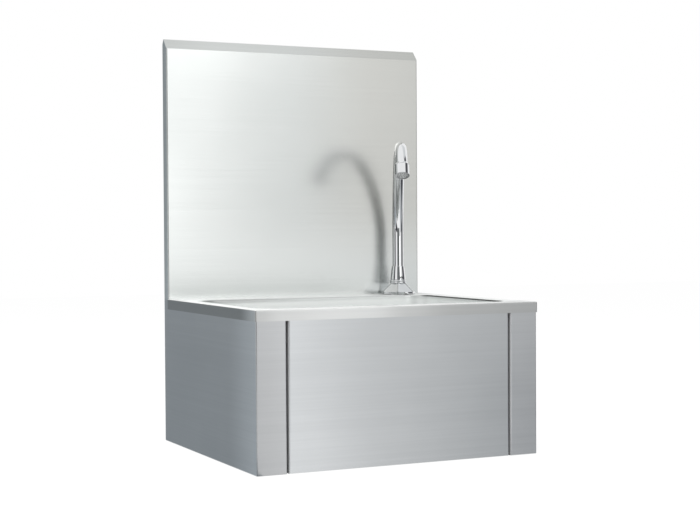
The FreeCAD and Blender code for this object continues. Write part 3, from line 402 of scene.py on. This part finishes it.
def deckPaintedLight(place):
    x, y, z = place.split()
    top = onDeckTop(place)
    outer = x.math("ABSOLUTE", x).step(*past(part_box("deck")[1].x, deck["fold"]))
    skin = between(outer, (deck["paintedFrontTone"], deck["paintedSideTone"]))
    flat = deck["paintedTopTone"] - y.step(*deck["back"]) * (deck["paintedTopTone"] - deck["paintedBackShade"])
    ledge = deck["paintedLedgeTone"] - x.step(*deck["ledgeRight"]) * deck["paintedRightShade"]
    flat = flat + (1 - y.step(*deck["ledge"])) * (ledge - deck["paintedTopTone"])
    return top * flat + (1 - top) * skin * paintedFoldTone(place, paintedFoldLight["deck_steel"])


# A painted shadow line runs along the bowl's rolled rim, darkest at its right.
# Its walls carry painted light and shade that change below the rim and from left to right, and its floor is
# painted darker as painted shade. Its heights are measured from the rim
bowl = {"rollFoot": (-0.0028, -0.0022), "rollHead": (-0.0009, -0.0003), "paintedLineShade": 0.3,
        "right": (0.165, 0.175), "paintedRightShade": 0.58, "paintedBowlFloorShade": 0.60, "rise": (-0.107, -0.032),
        "high": (-0.0075, -0.0027), "lowFade": (-0.18, -0.09), "paintedLowTone": (0.88, 1.11),
        "highFade": (-0.18, 0.05), "paintedHighTone": (0.60, 0.88)}


def bowlPaintedLight(place):
    x, y, z = place.split()
    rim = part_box("bowl")[1].z
    roll = z.step(*past(rim, bowl["rollFoot"])) * (1 - z.step(*past(rim, bowl["rollHead"])))
    line = 1 - roll * (x.step(*bowl["right"]) * bowl["paintedRightShade"] + bowl["paintedLineShade"])
    low = between(x.step(*bowl["lowFade"]), bowl["paintedLowTone"])
    high = between(x.step(*bowl["highFade"]), bowl["paintedHighTone"])
    wall = low + z.step(*past(rim, bowl["high"])) * (high - low)
    rise = z.step(*past(rim, bowl["rise"]))
    return line * (rise * (wall - bowl["paintedBowlFloorShade"]) + bowl["paintedBowlFloorShade"])


# The splash is warmer towards its upper right, painted brighter at its foot as a painted reflection, and
# painted darker in its upper left corner as painted shade
splash = {"warmAcross": (-0.02, 0.14), "warmUp": (0.12, 0.26), "warmTint": (0.955, 0.93, 0.905),
          "footAcross": (-0.21, 0.02), "footUp": (0.10, 0.26), "paintedFootLight": (0.14, 0.25),
          "cornerAcross": (-0.21, -0.12), "cornerUp": (0.26, 0.36), "paintedCornerShade": 0.08}


def splashWarmth(place):
    x, y, z = place.split()
    return x.step(*splash["warmAcross"]) * z.step(*splash["warmUp"])


def splashPaintedLight(place):
    x, y, z = place.split()
    gain = between(x.step(*splash["footAcross"]), splash["paintedFootLight"])
    corner = (1 - x.step(*splash["cornerAcross"])) * z.step(*splash["cornerUp"])
    return 1 + (1 - z.step(*splash["footUp"])) * gain - corner * splash["paintedCornerShade"]


# Inside the grooves beside the knee panel the sheet is painted dull grey, not metal and rough: painted shade
# in the grooves
paintedGrooveShade = {"overlap": 0.0015,           # how far that skin runs onto the sheets on either side
           "soft": 0.0004, "depth": (0.0002, 0.0012), "tone": (0.25, 0.255, 0.26), "rough": 0.7}


def inGroove(place):
    x, y, z = place.split()
    across = x.math("ABSOLUTE", x)
    panelLow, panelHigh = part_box("knee_panel")
    inner = panelHigh.x - paintedGrooveShade["overlap"]
    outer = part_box("side_panel_right")[0].x + paintedGrooveShade["overlap"]
    gap = across.step(inner - paintedGrooveShade["soft"], inner) * (1 - across.step(outer, outer + paintedGrooveShade["soft"]))
    return gap * y.step(*past(panelLow.y, paintedGrooveShade["depth"]))


def makeSteel(name, values):
    material, wire, place = newMaterial(name)
    along = values["along"]
    grain = place.noise(1.0, detail=3.0, roughness=0.65, squash=along)
    strokes = place.noise(1.0, squash=[run / brushing["strokeWidth"] for run in along])
    cloud = place.noise(brushing["cloudScale"], detail=3.0, roughness=0.55)
    smear = place.noise(brushing["smearScale"], roughness=0.6, squash=(1, 1, 0.5))
    mark = grain * brushing["grain"] + strokes * brushing["strokes"] + cloud * brushing["cloud"]
    colour = mark.step(*brushing["contrast"]).tint(values["dark"], values["light"])
    rough = values["rough"] + (grain - 0.5) * values["scratch"] + (cloud - 0.5) * brushing["cloudRough"]
    rough = rough + (smear - 0.5) * brushing["smearRough"]
    metal = values["metal"]
    if name == "deck_steel":
        # painted light and shade on the deck's top, aprons and front ledge
        colour = colour.scaled(deckPaintedLight(place))
        metal = 1 - onDeckTop(place) * (1 - deck["metal"])
    elif name == "bowl_steel":
        # painted light and shade on the bowl's rim line, walls and floor
        colour = colour.scaled(bowlPaintedLight(place))
    elif name == "splash_steel":
        # a warm tint, then a painted reflection at the foot and painted shade in the upper left corner
        warmed = splashWarmth(place).mix(colour, (*splash["warmTint"], 1), "MULTIPLY")
        colour = warmed.scaled(splashPaintedLight(place))
    elif name in paintedFoldLight:                 # the cabinet's sides and the knee panel
        # The cabinet's sides and the knee panel get painted light and shade towards their folds, and painted
        # shade in the grooves: grey, not metal and rough
        inside = inGroove(place)
        colour = inside.mix(colour.scaled(paintedFoldTone(place, paintedFoldLight[name])), (*paintedGrooveShade["tone"], 1))
        metal = 1 - inside
        rough = rough + inside * (paintedGrooveShade["rough"] - values["rough"])
    height = grain * brushing["grainRelief"] + strokes * brushing["strokeRelief"]
    return feed(material, Base_Color=colour, Metallic=metal, Roughness=rough,
                Normal=bump(height, values["relief"], brushing["depth"]))


# Turned, plated and cast metal: fine machining rings or a faint ripple, and dull spots
metals = {
    "bright_steel": {"light": (0.62, 0.62, 0.62), "dark": (0.48, 0.48, 0.48), "rough": 0.24,
                     "vary": 0.12, "fine": 900, "relief": 0.12},
    "chrome": {"light": (0.80, 0.81, 0.82), "dark": (0.76, 0.77, 0.78), "rough": 0.045,
               "vary": 0.03, "fine": 120, "relief": 0.015},
    "satin_nickel": {"light": (0.58, 0.56, 0.52), "dark": (0.48, 0.46, 0.42), "rough": 0.22,
                     "vary": 0.12, "fine": 500, "relief": 0.08},
    "brass": {"light": (0.62, 0.42, 0.16), "dark": (0.42, 0.27, 0.09), "rough": 0.28,
              "vary": 0.18, "fine": 450, "relief": 0.14},
    "waste_steel": {"light": (0.62, 0.63, 0.63), "dark": (0.55, 0.56, 0.56), "rough": 0.16,
                    "vary": 0.08, "fine": 700, "relief": 0.05},
}
turning = {"cloudScale": 38.0, "cloud": 0.7, "fine": 0.3, "contrast": (0.3, 0.7),
           "cloudRough": 0.6, "fineRough": 0.4, "depth": 0.00005}

# Painted reflection on the skirt: dark lines painted on its six ridges, less on the one that faces the room
skirt = {"node": "faucet_base", "head": (0.0158, 0.016),    # its top, measured from the base's foot
         "radius": (0.026, 0.027), "ridges": 6, "ridge": (0.0006, 0.0014), "paintedRidgeTone": 0.45,
         "paintedFrontTone": 0.75, "front": (-0.5, -0.866), "frontShare": (0.8, 0.9)}


def skirtPaintedReflection(place):
    x, y, z = place.split()
    low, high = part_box(skirt["node"])
    dx, dy = x - (low.x + high.x) / 2, y - (low.y + high.y) / 2
    radius = x.math("SQRT", dx * dx + dy * dy)
    half = skirt["ridges"] / 2          # the sine passes zero at every ridge
    fromRidge = radius * x.math("ABSOLUTE", x.math("SINE", x.math("ARCTAN2", dy, dx) * half)) / half
    ahead = ((dx * skirt["front"][0] + dy * skirt["front"][1]) / radius).step(*skirt["frontShare"])
    onSkirt = (1 - z.step(*past(low.z, skirt["head"]))) * (1 - radius.step(*skirt["radius"]))
    loss = (1 - skirt["paintedRidgeTone"]) - ahead * (skirt["paintedFrontTone"] - skirt["paintedRidgeTone"])
    return 1 - onSkirt * (1 - fromRidge.step(*skirt["ridge"])) * loss


# The chrome is darker too on the rim round the aerator's mouth, which lies square to the spout's end
mouth = {"axis": (-0.19187, -0.41146, -0.89101), "rim": (-0.20221, -0.20196), "foot": (0.262, 0.263),
         "tone": 0.24}


def mouthTone(place):
    z = place.split()[2]
    along = place.node("VectorMath", {"operation": "DOT_PRODUCT"}, {0: place, 1: mouth["axis"]}, 1)
    rim = along.step(*mouth["rim"]) * z.step(*mouth["foot"])
    return 1 - rim * (1 - mouth["tone"])


def makeMetal(name, values):
    material, wire, place = newMaterial(name)
    fine = place.noise(values["fine"], roughness=0.6)
    cloud = place.noise(turning["cloudScale"], detail=3.0, roughness=0.6)
    mark = (cloud * turning["cloud"] + fine * turning["fine"]).step(*turning["contrast"])
    colour = mark.tint(values["dark"], values["light"])
    if name == "chrome":
        # painted reflection on the skirt's ridges, and a darker rim round the aerator's mouth
        colour = colour.scaled(skirtPaintedReflection(place) * mouthTone(place))
    spots = cloud * turning["cloudRough"] + fine * turning["fineRough"] - 0.5
    rough = values["rough"] + spots * values["vary"]
    return feed(material, Base_Color=colour, Metallic=1.0, Roughness=rough,
                Normal=bump(fine, values["relief"], turning["depth"]))


# Moulded and rubber parts
plastics = {
    "waste_plastic": {"light": (0.82, 0.82, 0.80), "dark": (0.70, 0.70, 0.67), "rough": 0.42,
                      "vary": 0.15, "fine": 1400, "relief": 0.2},
    "rubber": {"light": (0.035, 0.035, 0.036), "dark": (0.018, 0.018, 0.019), "rough": 0.72,
               "vary": 0.2, "fine": 1600, "relief": 0.35},
    "nylon": {"light": (0.74, 0.72, 0.64), "dark": (0.62, 0.60, 0.52), "rough": 0.48,
              "vary": 0.15, "fine": 1200, "relief": 0.15},
    "screen_plastic": {"light": (0.46, 0.47, 0.47), "dark": (0.35, 0.36, 0.36), "rough": 0.45,
                       "vary": 0.15, "fine": 1500, "relief": 0.15},
}
moulding = {"cloudScale": 30.0, "contrast": (0.3, 0.7), "depth": 0.00006}


def makePlastic(name, values):
    material, wire, place = newMaterial(name)
    fine = place.noise(values["fine"])
    cloud = place.noise(moulding["cloudScale"], detail=3.0, roughness=0.6)
    mark = cloud.step(*moulding["contrast"])
    return feed(material, Base_Color=mark.tint(values["dark"], values["light"]),
                Roughness=values["rough"] + (cloud - 0.5) * values["vary"],
                Normal=bump(fine, values["relief"], moulding["depth"]))


# Steel wire braid: two sets of slanting wires that cross, 1.3 mm apart
braids = {
    "hose_braid": {"light": (0.66, 0.67, 0.68), "dark": (0.16, 0.165, 0.17), "rough": 0.28,
                   "vary": 0.15, "pitch": 4800.0, "cloudScale": 40.0, "weave": 0.8, "cloud": 0.2,
                   "contrast": (0.25, 0.7), "relief": 0.6, "depth": 0.0003},
}


def makeBraid(name, values):
    material, wire, place = newMaterial(name)
    x, y, z = place.split()
    one, other = (x + y + z) * values["pitch"], (x - y + z) * values["pitch"]
    weave = wire.math("SINE", one) * wire.math("SINE", other) * 0.5 + 0.5
    cloud = place.noise(values["cloudScale"], detail=3.0, roughness=0.6)
    mark = (weave * values["weave"] + cloud * values["cloud"]).step(*values["contrast"])
    return feed(material, Base_Color=mark.tint(values["dark"], values["light"]), Metallic=1.0,
                Roughness=values["rough"] + (cloud - 0.5) * values["vary"],
                Normal=bump(weave, values["relief"], values["depth"]))


finishes = {}
for maker, table in ((makeSteel, steels), (makeMetal, metals), (makePlastic, plastics), (makeBraid, braids)):
    for slotName, values in table.items():
        finishes[slotName] = maker(slotName, values)

# Each CAD node's material is named after its slot in the record
for node in nodes.values():
    for slot in node.material_slots:
        wanted = slot.material.name.split(".")[0]
        if wanted in finishes:
            slot.material = finishes[wanted]
print("finishes made:", len(finishes))

# The valve's spring, which shortens as the plunger goes in; here it keeps one length and moves with the
# plunger. Sizes in metres
coil = {"node": "plunger_spring", "wire": 0.0008, "turns": 7.25, "steps": 20, "sides": 10, "stroke": 0.008}


def makeSpring(values):
    low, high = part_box(values["node"])
    middle = (low + high) / 2
    radius = (high.x - low.x) / 2 - values["wire"]
    length = high.y - low.y
    rise = length - 2 * values["wire"]
    sweep = 2 * math.pi * values["turns"]
    steps = round(values["turns"] * values["steps"])
    mesh = bpy.data.meshes.new("valve_spring")
    bm = bmesh.new()
    bmesh.ops.create_circle(bm, segments=values["sides"], radius=values["wire"])
    lean = Matrix.Rotation(-math.atan2(rise, radius * sweep), 3, "X")
    bmesh.ops.rotate(bm, cent=(0, 0, 0), matrix=lean, verts=bm.verts)
    bmesh.ops.translate(bm, vec=(middle.x + radius, low.y + values["wire"], middle.z), verts=bm.verts)
    bmesh.ops.spin(bm, geom=bm.verts[:] + bm.edges[:], cent=(middle.x, 0, middle.z), axis=(0, 1, 0),
                   dvec=(0, rise / steps, 0), angle=sweep, steps=steps)
    bmesh.ops.holes_fill(bm, edges=[edge for edge in bm.edges if edge.is_boundary])
    bmesh.ops.recalc_face_normals(bm, faces=bm.faces)
    for face in bm.faces:
        face.smooth = True
    bm.to_mesh(mesh)
    bm.free()
    spring = bpy.data.objects.new("valve_spring", mesh)
    scene.collection.objects.link(spring)
    mesh.materials.append(finishes["bright_steel"])
    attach(spring, "plunger")
    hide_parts(values["node"])
    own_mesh(spring)
    print("spring made:", len(mesh.polygons), "faces")


makeSpring(coil)
